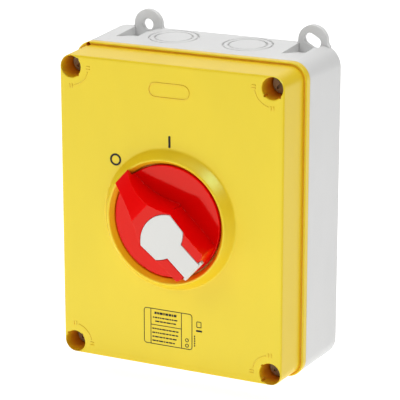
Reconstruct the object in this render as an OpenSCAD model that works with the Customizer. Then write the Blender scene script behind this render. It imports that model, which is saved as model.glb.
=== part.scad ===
// Surface-mounted rotary isolator switch in an insulating box.
// The origin is the centre of the back face. +Z is up, +Y goes into the wall,
// and the handle faces -Y. All sizes are in millimetres.

/* [Box] */
// Width of the flat front of the lid
lid_w = 137; // [130:1:145]
// Height of the flat front of the lid
lid_h = 176; // [168:1:186]
// Depth of the lid, from its front to the seam
lid_depth = 28.8; // [27:0.1:31]
// Depth of the base box, from the wall to the seam
base_depth = 40.1; // [39:0.1:44]
// Wall thickness of the box and the lid
wall = 3; // [2.5:0.1:3.4]

/* [Lid details] */
// Radius of the four screw wells
well_r = 6.2; // [5.8:0.1:6.4]
// Depth of the screw wells
well_depth = 13; // [11:0.5:14]
// Outer radius of the raised collar round the handle
collar_r = 39.5; // [38.5:0.5:42]
// Height of the collar
collar_h = 6.2; // [5:0.1:6.4]

/* [Handle] */
// Radius of the handle's disc
disc_r = 32.3; // [31.5:0.1:32.5]
// Height of the disc's rim above the lid
disc_top = 3.6; // [3.4:0.1:3.8]
// Height of the grip's flat top above the lid
grip_top = 19.4; // [19.2:0.1:21]
// Half the width of the grip across its shoulders
grip_half_w = 14; // [13.9:0.1:14.4]
// Turn from O to I, in degrees
throw_angle = 47.5; // [45:0.5:48]
// Outward travel of the padlock slide
slide_travel = 9.5; // [8:0.1:9.5]

/* [Fixings and entries] */
// Radius of the round wall-fixing holes
fixing_r = 3.25; // [2.6:0.05:3.3]
// Distance of the cable entries from the middle
entry_x = 23.2; // [22:0.1:30]
// Outer radius of the stepped knock-outs
entry_r = 14.5; // [12:0.1:15]
// Inner radius of the stepped knock-outs
entry_inner_r = 11.2; // [8:0.1:11.3]

/* [Switch block] */
// Width of the square contact decks
deck_w = 44; // [42:1:45]
// Thickness of one contact deck
deck_t = 10; // [9.6:0.1:10]
// Side of the square drive shaft
shaft_side = 8; // [7:0.1:8]

/* [Hidden] */
$fn = 64;
decks = 3;
box_depth = base_depth + lid_depth;
seam_gap = 0.15;
eps = 0.01;

// Box outlines: full width, full height and corner radius at each level
rim_w = lid_w + 5.5;
rim_h = lid_h + 5.5;
back_w = lid_w + 9.1;
back_h = lid_h + 9.2;
lid_corner_r = 7.2;
rim_corner_r = 9.5;
back_corner_r = 12.5;
bevel = 1.2;
seal_hole_r = 1.25;
print_t = 0.15;
flange_t = 5;
tongue_h = 3;
inner_w = lid_w - 2 * wall;
inner_h = lid_h - 2 * wall;
ledge_z = base_depth + 5.3;

// Screw wells sit concentric with the corners of the lid's front
well_x = lid_w / 2 - lid_corner_r + 0.2;
well_z = lid_h / 2 - lid_corner_r + 0.5;
column_r = 8.2;
// Each well's side in x and z, and how many quarter turns face its marks inwards
wells = [[-1, -1, 0], [1, -1, 1], [1, 1, 2], [-1, 1, 3]];
screw_r = 2.9;
neck_r = 1.75;
tip_r = 2.15;
lip_t = 2;
screw_end = 26;
head_r = 5.7;
head_t = 3;
shoulder_z = box_depth - well_depth - head_t;

// Wall-fixing lugs: a round hole and a slot above, the same turned half round below
lug_r = 8.9;
lug_t = 3.3;
lug_z = back_h / 2 + 1.7;
round_lug_x = -46.8;
slot_lug_x = 56.6;
slot_half = 2;
slot_tilt = -30;
channel_w = 12;
channel_deep = 5.5;
channel_end = 31;

// Cable entries
entry_y = 17;
wall_slope = atan((back_h - rim_h) / 2 / base_depth);
groove_w = 0.8;
groove_deep = 1.1;

// Handle
hub_r = 8.95;
bush_r = 9;
hub_end = -9;
disc_gap = 0.5;
collar_in_r = 33;
socket_end = 1.5;
grip_nose_u = -35.4;
grip_crease_u = -11.8;
nose_under_h = 6.8;
waist_r = 45;
waist_half = 4.6;
waist_u = -27.3;
ramp_r = 56;
ramp_u = 0.1;
ramp_h = -35.3;
grip_end_r = 31.9;
rest_angle = throw_angle - 90;
mark_r = 45.7;
dish_drop = 1.8;

// Padlock slide
plate_t = 2.4;
plate_gap = 0.25;
web_half = 4.5;
barb_half = 5.3;
web_u0 = -2;
web_u1 = 27;
web_foot_h = 4;
lock_hole_r = 3;

// Mounting rail, 35 mm top-hat section
rail_y = 8;
rail_rise = 7.5;
rail_t = 1;
rail_len = 104;
rail_half = 17.5;
rail_web_half = 12.5;
rail_screw_x = 44;

// Switch block
foot_y = rail_y + rail_rise + 0.1;
foot_t = 5.4;
deck_y = foot_y + foot_t;
index_y = deck_y + decks * deck_t;
index_t = 6;
cavity_r = 16;
rotor_r = 9;
blade_len = 14.6;
blade_half = 4;
blade_t = 2;
blade_eye_r = 7.4;
jaw_in = 11.5;
jaw_t = 1;
jaw_half = 3.5;
terminal_r = 34;
fan_angle = 30;
tie_xy = 17.5;

// ---------------------------------------------------------------- frames

// Local z becomes the distance from the wall
module from_wall() rotate([90, 0, 0]) children();

// Local z becomes the height above the lid's front
module from_face() translate([0, -box_depth, 0]) rotate([90, 0, 0]) children();

// As from_face, turned so that local x runs along the grip, away from its nose
module along_grip() from_face() rotate([0, 0, rest_angle]) children();

// Local z becomes the distance from the wall, turned to the direction of one deck's contacts
module along_deck(deck) from_wall() rotate([0, 0, (deck - 2) * fan_angle]) children();

// ---------------------------------------------------------------- helpers

module rounded_rect(w, h, r) {
    square([w - 2 * r, h], center = true);
    square([w, h - 2 * r], center = true);
    for (sx = [-1, 1], sy = [-1, 1])
        translate([sx * (w / 2 - r), sy * (h / 2 - r)])
            circle(r);
}

module slab(w, h, r, z, t) translate([0, 0, z]) linear_extrude(t) rounded_rect(w, h, r);

// Puts the children at each screw well, turned so that local +x and +y face into the lid
module at_wells() for (well = wells)
    translate([well.x * well_x, well.y * well_z, 0]) rotate([0, 0, 90 * well.z]) children();

// Draws the children twice: once as they are, and once turned half round
module both_ends() for (a = [0, 180]) rotate([0, 0, a]) children();

// A bar with half-round ends, as a flat outline
module stadium(half_len, r) {
    square([2 * half_len, 2 * r], center = true);
    for (s = [-1, 1])
        translate([s * half_len, 0])
            circle(r);
}

module deck_y_shift(deck) translate([0, 0, deck_y + (deck - 1) * deck_t]) children();

// ---------------------------------------------------------------- base box

module base_outer() hull() {
    slab(back_w, back_h, back_corner_r, 0, 0.5, $fn = 32);
    slab(rim_w, rim_h, rim_corner_r, base_depth - 0.5, 0.5, $fn = 32);
}

module base_cavity() hull() {
    slab(back_w - 2 * wall, back_h - 2 * wall, back_corner_r - wall, wall, 0.5, $fn = 32);
    slab(rim_w - 2 * wall, rim_h - 2 * wall, rim_corner_r - wall, base_depth, 0.5, $fn = 32);
}

module tongue() difference() {
    slab(rim_w - 8, rim_h - 8, 6, base_depth - 2, tongue_h + 2);
    slab(rim_w - 11.5, rim_h - 11.5, 4.3, base_depth - 3, tongue_h + 4);
}

module lugs() both_ends() for (x = [round_lug_x, slot_lug_x]) {
    translate([x, lug_z, 0]) cylinder(r = lug_r, h = lug_t);
    translate([x - lug_r, lug_z - 6, 0]) cube([2 * lug_r, 6, lug_t]);
}

module lug_holes() both_ends() {
    translate([round_lug_x, lug_z, -1]) cylinder(r = fixing_r, h = lug_t + 8);
    translate([slot_lug_x, lug_z, -1])
        rotate([0, 0, slot_tilt])
            linear_extrude(lug_t + 8)
                stadium(slot_half, fixing_r);
}

// Ramp that lets a screwdriver reach the fixing screw, with room for the screw's head
module driver_channels(grow = 0) both_ends() for (x = [round_lug_x, slot_lug_x]) {
    translate([x - channel_w / 2 - 2 - grow, 0, 0])
        rotate([90, 0, 90])
            linear_extrude(channel_w + 2 * grow)
                polygon([
                    [back_h / 2 - channel_deep - grow, lug_t - grow],
                    [back_h / 2 - 0.8 - grow, channel_end + grow],
                    [back_h / 2 + 2, channel_end + grow],
                    [back_h / 2 + 2, lug_t - grow]
                ]);
    translate([x, lug_z, lug_t - grow]) cylinder(r = 6.4 + grow, h = 8 + 2 * grow);
}

// Stepped knock-outs: two ring grooves square to the sloping top and bottom walls
module entry_grooves() both_ends() for (x = [-entry_x, entry_x])
    translate([x, back_h / 2 - entry_y * tan(wall_slope), entry_y])
        rotate([wall_slope - 90, 0, 0])
            for (r = [entry_r, entry_inner_r])
                translate([0, 0, -groove_deep]) difference() {
                    cylinder(r = r, h = wall);
                    translate([0, 0, -1]) cylinder(r = r - groove_w, h = wall + 2);
                }

module base_posts() {
    at_wells() cylinder(r = 7, h = base_depth - 1.1);
    for (s = [-1, 1]) translate([s * rail_screw_x, 0, 0]) cylinder(r = 5, h = rail_y);
    translate([0, -62, 0]) cube([34, 12, 2 * 6], center = true);
}

module base_box() color("gainsboro") from_wall() difference() {
    union() {
        difference() {
            base_outer();
            base_cavity();
        }
        intersection() {
            base_outer();
            union() {
                base_posts();
                driver_channels(grow = 2.2);
            }
        }
        tongue();
        lugs();
    }
    driver_channels();
    lug_holes();
    entry_grooves();
    at_wells() translate([0, 0, 22]) cylinder(r = tip_r + 0.25, h = base_depth);
    for (s = [-1, 1]) translate([s * rail_screw_x, 0, 2]) cylinder(r = 1.6, h = rail_y);
    for (s = [-1, 1]) translate([s * 10, -62, 2]) cylinder(r = 1.6, h = 6);
}

// ---------------------------------------------------------------- rail and switch block

module din_rail() color("silver") from_wall() difference() {
    rotate([90, 0, 90]) translate([0, rail_y, -rail_len / 2]) linear_extrude(rail_len) {
        translate([-rail_web_half - rail_t, 0]) square([2 * (rail_web_half + rail_t), rail_t]);
        for (side = [0, 1]) mirror([side, 0]) {
            translate([rail_web_half, 0]) square([rail_t, rail_rise]);
            translate([rail_web_half, rail_rise - rail_t]) square([rail_half - rail_web_half, rail_t]);
        }
    }
    for (s = [-1, 1]) translate([s * rail_screw_x, 0, 0]) cylinder(r = 2.2, h = 3 * rail_y);
}

// Pan-head screw with a crosswise slot, standing on its tip at the origin
module pan_screw(shank_r, shank_len, cap_r, cap_t) difference() {
    union() {
        cylinder(r = shank_r, h = shank_len + eps);
        translate([0, 0, shank_len]) cylinder(r = cap_r, h = cap_t);
    }
    for (a = [0, 90])
        translate([0, 0, shank_len + cap_t])
            rotate([0, 0, a])
                cube([1.4 * cap_r, 0.9, cap_t], center = true);
}

module rail_screws() color("silver") from_wall() for (s = [-1, 1])
    translate([s * rail_screw_x, 0, 2.6]) pan_screw(1.6, rail_y + rail_t - 2.6, 3.6, 2.2);

module switch_foot() color("dimgray") from_wall() difference() {
    union() {
        translate([-deck_w / 2, -deck_w / 2, foot_y]) cube([deck_w, deck_w, foot_t]);
        translate([-14, rail_half + 0.2, foot_y - 3.6]) cube([28, 2.4, 4]);
        translate([-14, rail_half - 1.6, foot_y - 3.6]) cube([28, 4.2, 2.2]);
    }
    translate([-5.3, -deck_w, foot_y + 1.2]) cube([10.6, deck_w - 8, foot_t]);
    tie_holes();
}

module tie_holes() for (sx = [-1, 1], sz = [-1, 1])
    translate([sx * tie_xy, sz * tie_xy, foot_y - 1]) cylinder(r = 1.6, h = 60);

// Sprung latch that hooks the lower flange of the rail
module din_latch() color("lightgray") from_wall() {
    translate([-5, -26, foot_y + 1.5]) cube([10, 17, 3]);
    translate([-5, -26, foot_y - 3.4]) cube([10, 3.7, 7.9]);
    translate([-5, -26, foot_y - 3.4]) cube([10, 9.5, 2]);
}

module contact_deck(deck) color("dimgray") difference() {
    from_wall() deck_y_shift(deck) slab(deck_w, deck_w, 3, 0, deck_t);
    from_wall() deck_y_shift(deck) translate([0, 0, -1]) cylinder(r = rotor_r + 0.4, h = deck_t + 2);
    from_wall() deck_y_shift(deck) translate([0, 0, 2]) cylinder(r = cavity_r, h = deck_t - 4);
    along_deck(deck) deck_y_shift(deck)
        translate([-deck_w, -jaw_half - 0.2, 2.7]) cube([2 * deck_w, 2 * jaw_half + 0.4, deck_t - 5.4]);
    from_wall() tie_holes();
}
module contact_deck_1() contact_deck(1);
module contact_deck_2() contact_deck(2);
module contact_deck_3() contact_deck(3);

// Two forked strips, one each side of the rotor; the fork's gap takes the blade
module fixed_contacts(deck) color("peru") along_deck(deck) deck_y_shift(deck) both_ends()
    difference() {
        translate([jaw_in, -jaw_half, deck_t / 2 - 2.1]) cube([terminal_r + 3 - jaw_in, 2 * jaw_half, 4.2]);
        translate([jaw_in - 1, -jaw_half - 1, deck_t / 2 - blade_t / 2 - 0.15])
            cube([6, 2 * jaw_half + 2, blade_t + 0.3]);
        translate([cavity_r + 4, -jaw_half - 1, deck_t / 2 + 1.5]) cube([30, 2 * jaw_half + 2, 4]);
        translate([cavity_r + 4, -jaw_half - 1, deck_t / 2 - 4.5]) cube([30, 2 * jaw_half + 2, 4]);
    }
module fixed_contacts_1() fixed_contacts(1);
module fixed_contacts_2() fixed_contacts(2);
module fixed_contacts_3() fixed_contacts(3);

module at_terminals() for (deck = [1 : decks], a = [0, 180])
    along_deck(deck) deck_y_shift(deck) rotate([0, 0, a]) translate([terminal_r, 0, deck_t / 2]) children();

module terminal_clamps() color("gold") at_terminals() difference() {
    translate([-4.5, -5.5, -5]) cube([9, 11, 11.5]);
    translate([-6, -jaw_half - 0.1, -3.5]) cube([12, 2 * jaw_half + 0.2, 5.2]);
    cylinder(r = 2.05, h = 10);
}

module terminal_screws() color("silver") at_terminals() translate([0, 0, 1.75]) pan_screw(2, 6, 3.4, 2.2);

// Front housing of the block, with a ring wall for the index disc
module index_housing() color("dimgray") from_wall() difference() {
    slab(deck_w, deck_w, 3, index_y, index_t);
    translate([0, 0, index_y - 1]) cylinder(r = 15, h = index_t - 1);
    translate([0, 0, index_y]) cylinder(r = rotor_r - 1.5, h = index_t + 2);
    translate([-20, 14, index_y - 1]) cube([40, 5, index_t - 1]);
    tie_holes();
}

// Leaf spring that bears on the index disc
module index_spring() color("silver") from_wall() translate([0, 0, index_y + 0.4]) linear_extrude(3.4) {
    translate([-14, 15.6]) square([28, 0.8]);
    intersection() {
        difference() {
            translate([0, 16.2]) circle(2.2);
            translate([0, 16.2]) circle(1.4);
        }
        translate([-3, 13]) square([6, 3]);
    }
}

module tie_bolts() color("silver") from_wall() for (sx = [-1, 1], sz = [-1, 1])
    translate([sx * tie_xy, sz * tie_xy, foot_y + 0.5])
        pan_screw(1.5, index_y + index_t - foot_y - 0.5, 3, 1.8);

module earth_terminal() color("gold") from_wall() difference() {
    translate([-13, -66.5, 6]) cube([26, 9, 8]);
    for (x = [-5, 5]) translate([x, -70, 10]) rotate([-90, 0, 0]) cylinder(r = 2.4, h = 20);
    for (x = [-10, 10]) translate([x, -62, 0]) cylinder(r = 1.75, h = 20);
    for (x = [-5, 5]) translate([x, -62, 10]) cylinder(r = 1.55, h = 20);
}

module earth_screws() color("silver") from_wall() {
    for (x = [-10, 10]) translate([x, -62, 3]) pan_screw(1.6, 11, 2.9, 1.8);
    for (x = [-5, 5]) translate([x, -62, 12.6]) pan_screw(1.5, 3.4, 2.1, 1.2);
}

// ---------------------------------------------------------------- shaft and rotors

// Outline of the shaft, turned with the handle
module shaft_square(side) rotate([0, 0, rest_angle]) square(side, center = true);

module drive_shaft() color("silver") from_wall() translate([0, 0, deck_y + 0.2])
    linear_extrude(box_depth + 0.8 - deck_y) shaft_square(shaft_side);

module index_disc() color("whitesmoke") from_wall() translate([0, 0, index_y + 0.3])
    linear_extrude(3.4) difference() {
        circle(13.6);
        for (a = [0, throw_angle]) rotate([0, 0, a]) translate([0, 15.8]) circle(3);
        shaft_square(shaft_side);
    }

module rotor(deck) color("whitesmoke") from_wall() deck_y_shift(deck) difference() {
    translate([0, 0, 0.2]) cylinder(r = rotor_r, h = deck_t - 0.4);
    translate([0, 0, -1]) linear_extrude(deck_t + 2) shaft_square(shaft_side);
    blade_cut(deck);
}
module rotor_1() rotor(1);
module rotor_2() rotor(2);
module rotor_3() rotor(3);

// A blade lies throw_angle short of its contacts when the handle is at O
module blade_frame(deck) rotate([0, 0, (deck - 2) * fan_angle + throw_angle]) children();

// Plan of a blade: a straight bar with round ends and a wide eye for the shaft
module blade_plan(len) {
    intersection() {
        square([2 * len, 2 * blade_half], center = true);
        circle(len);
    }
    circle(blade_eye_r);
}

module blade_cut(deck) translate([0, 0, deck_t / 2 - blade_t / 2]) linear_extrude(blade_t)
    blade_frame(deck) blade_plan(rotor_r + 1);

module moving_contact(deck) color("peru") from_wall() deck_y_shift(deck)
    translate([0, 0, deck_t / 2 - blade_t / 2]) linear_extrude(blade_t) difference() {
        blade_frame(deck) blade_plan(blade_len);
        shaft_square(shaft_side);
    }
module moving_contact_1() moving_contact(1);
module moving_contact_2() moving_contact(2);
module moving_contact_3() moving_contact(3);

// ---------------------------------------------------------------- lid

module lid_outer() {
    hull() {
        slab(lid_w - 2 * bevel, lid_h - 2 * bevel, lid_corner_r - bevel, box_depth - 0.3, 0.3, $fn = 32);
        slab(lid_w, lid_h, lid_corner_r, box_depth - bevel - 0.3, 0.3, $fn = 32);
        slab(lid_w + 1.6, lid_h + 1.6, lid_corner_r, base_depth + flange_t, 0.3, $fn = 32);
    }
    slab(rim_w, rim_h, rim_corner_r, base_depth + seam_gap, flange_t - seam_gap);
}

module lid_cavity() {
    slab(rim_w - 6.5, rim_h - 6.5, rim_corner_r - 3.25, 0, ledge_z);
    hull() {
        slab(inner_w, inner_h, lid_corner_r - wall, box_depth - wall - 0.5, 0.5, $fn = 32);
        slab(inner_w - 0.6, inner_h - 0.6, lid_corner_r - wall, ledge_z - 0.1, 0.3, $fn = 32);
    }
}

// Ring section: rounded outer flank, crest, and an inner slope down to the disc
module collar() translate([0, 0, box_depth - 0.1]) rotate_extrude($fn = 128) {
    intersection() {
        translate([collar_r - 4, 0.1]) circle(4);
        translate([collar_r - 4, 0]) square([4, 4.2]);
    }
    polygon([
        [collar_in_r, 0], [collar_in_r, 3], [collar_in_r + 2.2, collar_h + 0.1],
        [collar_r - 3.4, collar_h + 0.1], [collar_r - 1.2, 2.9], [collar_r - 1.2, 0]
    ]);
}

// Faint arc and end ticks beside a screw well, showing the quarter turn
module turn_arc() {
    rotate([0, 0, 12]) translate([0, 0, -0.1])
        rotate_extrude(angle = 66) translate([10.4, 0]) square([0.5, 0.35]);
    for (a = [0, 90], d = [-0.8, 0.8])
        rotate([0, 0, a]) translate([11, d, 0.12]) cube([2.6, 0.5, 0.45], center = true);
}

module name_frame() translate([-0.4, 73.4, -0.1]) linear_extrude(0.5) difference() {
    stadium(8.3, 4.3);
    stadium(8.3, 3.8);
}

module lid() color("gold") from_wall() difference() {
    union() {
        difference() {
            lid_outer();
            lid_cavity();
        }
        intersection() {
            lid_outer();
            at_wells() translate([0, 0, ledge_z]) cylinder(r = column_r, h = lid_depth);
        }
        translate([0, 0, box_depth - wall - 2]) cylinder(r = 12.5, h = 3);
        collar();
        translate([0, 0, box_depth]) {
            name_frame();
            at_wells() turn_arc();
        }
    }
    translate([0, 0, box_depth - wall - 5]) cylinder(r = bush_r, h = 20);
    at_wells() {
        translate([0, 0, shoulder_z]) cylinder(r = well_r, h = 30);
        translate([0, 0, base_depth]) cylinder(r = neck_r + 0.2, h = 30);
        translate([0, 0, ledge_z + lip_t]) cylinder(r = screw_r + 0.3, h = 20);
        for (a = [45, 135]) rotate([0, 0, a]) translate([well_r, 0, box_depth - 4]) cylinder(r = 0.8, h = 6);
    }
    translate([-rim_w / 2 + 8, rim_h / 2 - 1.6, base_depth + 0.8]) cylinder(r = seal_hole_r, h = 5.6);
}

module lid_gasket() color("black") from_wall() difference() {
    slab(rim_w - 7.1, rim_h - 7.1, 6.1, base_depth + tongue_h + 0.3, 1.9);
    slab(rim_w - 11.5, rim_h - 11.5, 4.3, base_depth, 9);
    at_wells() cylinder(r = screw_r + 0.6, h = 60);
}

// Printed marks: a ring for off and a bar for on
module position_marks() color("black") from_face() linear_extrude(print_t) {
    rotate([0, 0, throw_angle]) translate([0, mark_r]) difference() {
        circle(3.5);
        circle(2.4);
    }
    translate([0, mark_r - 0.9]) square([1.3, 6.9], center = true);
}

// Printed rating panel: a ruled frame with plain bars in place of lettering
module rating_label() color("black") from_face() translate([-1.4, -64.2, 0]) linear_extrude(print_t) {
    difference() {
        rounded_rect(30.5, 21.4, 1.8);
        rounded_rect(29.8, 20.7, 1.45);
    }
    for (x = [-11, 8.3]) translate([x, 0]) square([0.35, 20.9], center = true);
    translate([-1.35, 0.8]) square([19.3, 0.35], center = true);
    for (row = [0 : 2]) translate([-1.35, 8.4 - 2.7 * row]) square([15 - 2 * row, 0.7], center = true);
    for (row = [0 : 3]) translate([-2.6, -1.4 - 2.5 * row]) square([13.5 - 1.5 * row, 0.7], center = true);
}

// ---------------------------------------------------------------- handle

// Plan of the grip: tapering sides, a round rear end and a hollow-sided nose
module grip_plan() difference() {
    intersection() {
        polygon([
            [grip_nose_u, 5.2], [grip_crease_u, 7.1], [0.4, grip_half_w], [13, 12.7], [15.2, 12.1], [40, 11.9],
            [40, -11.9], [15.2, -12.1], [13, -12.7], [0.4, -grip_half_w], [grip_crease_u, -7.1], [grip_nose_u, -5.2]
        ]);
        union() {
            circle(grip_end_r, $fn = 128);
            translate([grip_nose_u, -10]) square([20, 20]);
        }
    }
    for (s = [-1, 1]) translate([waist_u, s * (waist_r + waist_half)]) circle(waist_r, $fn = 128);
}

// Side view of the grip: undercut nose, a ramp that bulges a little, and a flat top
module grip_side() rotate([90, 0, 0]) translate([0, 0, -20]) linear_extrude(40) intersection() {
    polygon([
        [-32.1, disc_gap], [-32.1, nose_under_h], [grip_nose_u, nose_under_h + 0.3], [grip_nose_u, grip_top],
        [40, grip_top], [40, disc_gap]
    ]);
    union() {
        translate([ramp_u, ramp_h]) circle(ramp_r, $fn = 256);
        square([40, 40]);
    }
}

// Shallow cone that dishes the front of the disc
module dish() translate([0, 0, disc_top - dish_drop])
    cylinder(h = dish_drop, r1 = 0.5, r2 = disc_r - 0.5, $fn = 128);

// Outline of the padlock slide's plate, grown by a clearance
module plate_plan(grow) {
    intersection() {
        translate([11.5, 0]) circle(17 + grow, $fn = 128);
        circle(17.6 + grow, $fn = 128);
        polygon([[-10, -14.8 - grow], [-10, 14.8 + grow], [20, 11.2 + grow], [20, -11.2 - grow]]);
    }
    translate([10, -6.1 - grow]) square([22.2, 12.2 + 2 * grow]);
}

// Room in the grip for a stretch of the slide's web
module web_space(half, tall)
    translate([web_u0 - plate_gap, -half - plate_gap, web_foot_h - plate_gap])
        cube([web_u1 - web_u0 + 2 * plate_gap, 2 * (half + plate_gap), tall]);

module slide_pocket() {
    translate([0, 0, grip_top - plate_t - plate_gap]) linear_extrude(10) {
        plate_plan(plate_gap);
        translate([28, -6.1 - plate_gap]) square([8, 12.2 + 2 * plate_gap]);
    }
    translate([30.2, -7.9, grip_top - 3.7]) cube([8, 15.8, 8]);
    web_space(web_half, 20);
    web_space(barb_half, slide_travel + 1.4);
}

module handle() color("red") along_grip() difference() {
    union() {
        difference() {
            translate([0, 0, disc_gap]) cylinder(r = disc_r, h = disc_top - disc_gap, $fn = 128);
            dish();
        }
        intersection() {
            linear_extrude(grip_top) grip_plan();
            grip_side();
        }
        translate([0, 0, hub_end]) cylinder(r = hub_r, h = disc_top - hub_end - 1);
    }
    slide_pocket();
    translate([0, 0, hub_end - 1])
        linear_extrude(socket_end - hub_end + 1)
            square(shaft_side + 0.1, center = true);
    ring_groove(-2.4, 1.6, 7.4);
    ring_groove(-6.8, 1.2, 7.8);
}

module ring_groove(z, t, r) translate([0, 0, z]) difference() {
    cylinder(r = hub_r + 1, h = t);
    translate([0, 0, -1]) cylinder(r = r, h = t + 2);
}

module handle_seal() color("black") along_grip() translate([0, 0, -1.6])
    rotate_extrude() translate([8.17, 0]) circle(0.75, $fn = 24);

// Split ring that keeps the hub in the lid
module handle_clip() color("silver") along_grip() translate([0, 0, -6.7]) rotate_extrude(angle = 320)
    translate([7.85, 0]) square([3.6, 1]);

module padlock_slide() color("lightgray") along_grip() difference() {
    union() {
        translate([0, 0, grip_top - plate_t]) linear_extrude(plate_t) plate_plan(0);
        translate([web_u0, -web_half, web_foot_h])
            cube([web_u1 - web_u0, 2 * web_half, grip_top - web_foot_h - 1]);
        translate([web_u0, -barb_half, web_foot_h]) cube([web_u1 - web_u0, 2 * barb_half, 1]);
        translate([30.6, -7.6, grip_top - 3.4]) cube([1.6, 15.2, 2.5]);
    }
    for (u = [4, 13, 22]) translate([u, 0, 13.3]) rotate([90, 0, 0]) cylinder(r = lock_hole_r, h = 20, center = true);
}

// ---------------------------------------------------------------- lid screws

// Quarter-turn screw: recessed head with a cross slot, and a neck that a lip in the lid snaps round
module lid_screw(sx, sz) color("silver") from_wall() translate([sx * well_x, sz * well_z, 0])
    difference() {
        union() {
            translate([0, 0, screw_end]) cylinder(r = tip_r, h = ledge_z - 0.3 - screw_end);
            translate([0, 0, ledge_z - 1]) cylinder(r = neck_r, h = lip_t + 2);
            translate([0, 0, ledge_z + lip_t + 0.2]) cylinder(r = screw_r, h = shoulder_z - ledge_z - lip_t);
            translate([0, 0, shoulder_z + 0.1]) cylinder(r = head_r, h = head_t);
        }
        for (a = [45, 135])
            translate([0, 0, shoulder_z + head_t]) rotate([0, 0, a]) cube([8.4, 1.6, 3.4], center = true);
    }
module lid_screw_top_left() lid_screw(-1, 1);
module lid_screw_top_right() lid_screw(1, 1);
module lid_screw_bottom_left() lid_screw(-1, -1);
module lid_screw_bottom_right() lid_screw(1, -1);

// ---------------------------------------------------------------- assembly

base_box();
din_rail();
rail_screws();
switch_foot();
din_latch();
contact_deck_1();
contact_deck_2();
contact_deck_3();
fixed_contacts_1();
fixed_contacts_2();
fixed_contacts_3();
terminal_clamps();
terminal_screws();
index_housing();
index_spring();
tie_bolts();
earth_terminal();
earth_screws();
drive_shaft();
index_disc();
rotor_1();
rotor_2();
rotor_3();
moving_contact_1();
moving_contact_2();
moving_contact_3();
lid();
lid_gasket();
position_marks();
rating_label();
handle();
handle_seal();
handle_clip();
padlock_slide();
lid_screw_top_left();
lid_screw_top_right();
lid_screw_bottom_left();
lid_screw_bottom_right();
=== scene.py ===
"""Looks of a surface-mounted rotary isolator switch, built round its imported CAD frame.

Shapes are worked out in millimetres in a local frame and placed by one matrix:
the wall frame has x to the right, y up and z away from the wall;
the grip frame sits on the lid's face and is turned with the handle, x pointing away from its nose.
"""
import math
import random

import bmesh
import bpy
from mathutils import Matrix, Vector


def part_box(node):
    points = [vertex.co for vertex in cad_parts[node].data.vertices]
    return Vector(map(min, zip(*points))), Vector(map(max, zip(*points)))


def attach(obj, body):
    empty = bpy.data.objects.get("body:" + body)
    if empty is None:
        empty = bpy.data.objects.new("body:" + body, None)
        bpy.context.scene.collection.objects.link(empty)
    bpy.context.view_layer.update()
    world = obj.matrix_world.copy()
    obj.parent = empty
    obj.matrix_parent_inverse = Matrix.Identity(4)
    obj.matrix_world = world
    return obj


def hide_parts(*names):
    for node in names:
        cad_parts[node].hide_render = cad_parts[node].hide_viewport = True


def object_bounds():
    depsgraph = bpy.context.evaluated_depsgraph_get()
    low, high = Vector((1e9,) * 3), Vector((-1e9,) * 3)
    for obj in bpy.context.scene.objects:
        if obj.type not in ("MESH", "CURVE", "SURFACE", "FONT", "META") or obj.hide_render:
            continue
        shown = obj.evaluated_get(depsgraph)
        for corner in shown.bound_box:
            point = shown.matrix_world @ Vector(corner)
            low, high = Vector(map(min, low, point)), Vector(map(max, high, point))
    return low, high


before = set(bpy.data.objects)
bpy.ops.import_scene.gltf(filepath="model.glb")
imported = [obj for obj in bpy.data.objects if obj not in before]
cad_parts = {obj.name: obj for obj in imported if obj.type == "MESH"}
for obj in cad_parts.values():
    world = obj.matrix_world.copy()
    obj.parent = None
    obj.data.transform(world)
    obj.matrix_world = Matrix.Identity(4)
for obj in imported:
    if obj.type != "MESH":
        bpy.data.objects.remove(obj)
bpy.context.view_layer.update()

# ---------------------------------------------------------------- sizes, in millimetres

MM = 0.001

# outside of the box, from its back (z = 0) over the seam to the lid's face
SEAM = 40.1
SEAM_GAP = 0.15
WALL = 3
COLLAR_H = 6.2
FACE = -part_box("lid")[0].y / MM - COLLAR_H
RIM_W = 2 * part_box("lid")[1].x / MM
RIM_H = 2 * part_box("lid")[1].z / MM
RIM_R = 9.9
BACK_W = 2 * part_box("base_box")[1].x / MM
BACK_H = RIM_H + 3.7
BACK_R = 12.5
WALL_SLOPE = math.degrees(math.atan((BACK_H - RIM_H) / 2 / SEAM))

# lid: flange, wall (insets from the rim), collar and room inside
FLANGE_TOP = SEAM + 5
FRONT_ROUND = 1.2
WALL_FOOT = 1.95
WALL_HEAD = 2.75
INNER = 5.75
LEDGE = SEAM + 5.3
POST_TOP = SEAM - 1.1
DISC_GAP = 0.5
BUSH_R = 9
BOSS_R = 12.2
COLLAR_FOOT_R = 41.2
COLLAR_CREST_R = 35.75
COLLAR_IN_R = 33.2
TONGUE_OUT = 4
TONGUE_IN = 5.75

# raised and sunk details of the lid
DETAIL_FOOT = -0.3
NAME_FRAME_PLACE = (-0.4, 73.4)
NAME_FRAME_HALF = 8.3
NAME_FRAME_R = 4.3
TURN_ARC_R = (10.35, 10.95)
TICK_R = 11
SEAL_HOLE_PLACE = (-RIM_W / 2 + 8, RIM_H / 2 - 1.6)
SEAL_HOLE_R = 1.25

# screw wells and the screws in them
WELL_X = 61.5
WELL_Y = 81.3
WELL_R = 6.2
WELL_FLOOR = FACE - 16
WELLS = {
    "bottom_left": (-1, -1, 0),
    "bottom_right": (1, -1, 1),
    "top_right": (1, 1, 2),
    "top_left": (-1, 1, 3)
}
COLUMN_R = 8.2
SCREW_R = 2.9
NECK_R = 1.75
TIP_R = 2.15
LIP_T = 2
HEAD_R = 5.7
HEAD_T = 3
SCREW_END = 26
POST_R = 7
POST_HOLE_R = 2.4

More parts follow.
